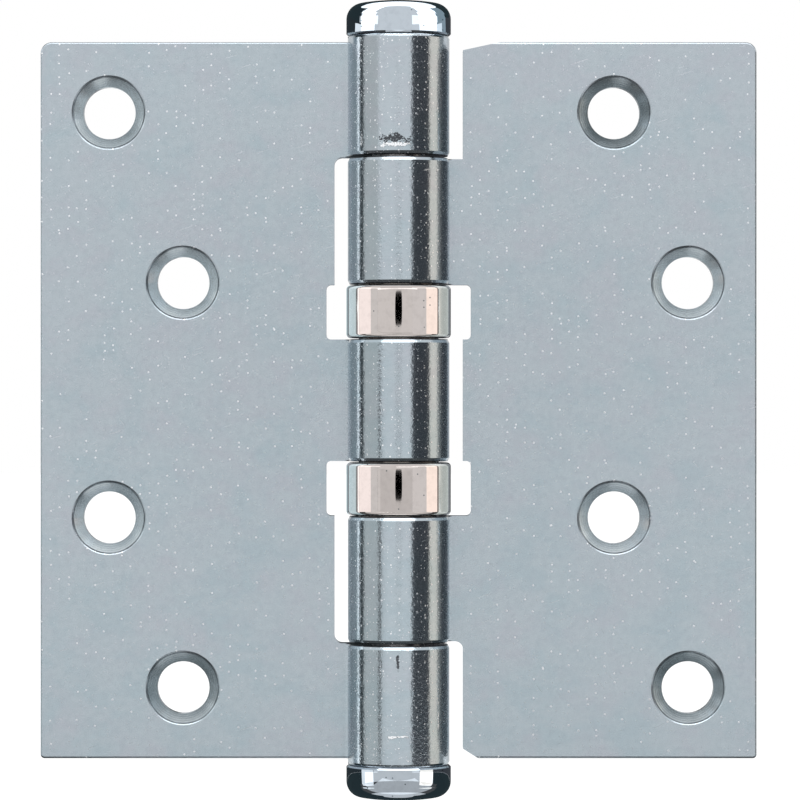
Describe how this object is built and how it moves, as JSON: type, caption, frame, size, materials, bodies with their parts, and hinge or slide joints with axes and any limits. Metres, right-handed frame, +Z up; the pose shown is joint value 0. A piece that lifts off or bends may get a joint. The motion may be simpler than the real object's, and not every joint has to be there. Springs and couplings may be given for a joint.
{
  "type": "ball bearing butt hinge",
  "caption": "Ball bearing butt hinge laid open flat, with square countersunk leaves, a curled knuckle barrel, bright bearing collars and domed pin caps.",
  "frame": {"origin": "on the pin's axis, halfway between the caps", "axes": "+Z up along the pin, -Y towards the countersunk faces and the viewer, +X towards the right leaf"},
  "size_m": [0.089, 0.013, 0.099],
  "materials": {
    "leaf_steel": "satin blue-bright zinc plate with light handling marks",
    "bright_chrome": "mirror chrome plate",
    "pin_steel": "ground steel",
    "bearing_steel": "hardened and polished steel, lightly greased"
  },
  "bodies": {
    "frame_leaf": {"left_leaf": "leaf_steel", "hinge_pin": "pin_steel", "top_cap": "bright_chrome", "bottom_cap": "bright_chrome", "upper_bearing_bottom_race": "bearing_steel", "lower_bearing_top_race": "bearing_steel"},
    "door_leaf": {"right_leaf": "leaf_steel", "upper_bearing_top_race": "bearing_steel", "lower_bearing_bottom_race": "bearing_steel"},
    "upper_collar": {"upper_bearing_collar": "bright_chrome"},
    "lower_collar": {"lower_bearing_collar": "bright_chrome"},
    "upper_balls": {"upper_ball_01": "bearing_steel", "upper_ball_02": "bearing_steel", "upper_ball_03": "bearing_steel", "upper_ball_04": "bearing_steel", "upper_ball_05": "bearing_steel", "upper_ball_06": "bearing_steel", "upper_ball_07": "bearing_steel", "upper_ball_08": "bearing_steel", "upper_ball_09": "bearing_steel", "upper_ball_10": "bearing_steel"},
    "lower_balls": {"lower_ball_01": "bearing_steel", "lower_ball_02": "bearing_steel", "lower_ball_03": "bearing_steel", "lower_ball_04": "bearing_steel", "lower_ball_05": "bearing_steel", "lower_ball_06": "bearing_steel", "lower_ball_07": "bearing_steel", "lower_ball_08": "bearing_steel", "lower_ball_09": "bearing_steel", "lower_ball_10": "bearing_steel"}
  },
  "joints": [
    {"name": "leaf_swing", "type": "hinge", "parent": "frame_leaf", "child": "door_leaf", "pos_m": [0, 0, 0], "axis": [0, 0, -1], "range_deg": [-115, 180]},
    {"name": "upper_collar_spin", "type": "hinge", "parent": "frame_leaf", "child": "upper_collar", "pos_m": [0, 0, 0], "axis": [0, 0, -1], "continuous": true},
    {"name": "lower_collar_spin", "type": "hinge", "parent": "frame_leaf", "child": "lower_collar", "pos_m": [0, 0, 0], "axis": [0, 0, -1], "continuous": true},
    {"name": "upper_balls_roll", "type": "hinge", "parent": "frame_leaf", "child": "upper_balls", "pos_m": [0, 0, 0], "axis": [0, 0, -1], "range_deg": [-57.5, 90]},
    {"name": "lower_balls_roll", "type": "hinge", "parent": "frame_leaf", "child": "lower_balls", "pos_m": [0, 0, 0], "axis": [0, 0, -1], "range_deg": [-57.5, 90]}
  ],
  "couplings": [
    {"joint": "upper_balls_roll", "follows": "leaf_swing", "ratio": 0.5},
    {"joint": "lower_balls_roll", "follows": "leaf_swing", "ratio": 0.5}
  ]
}
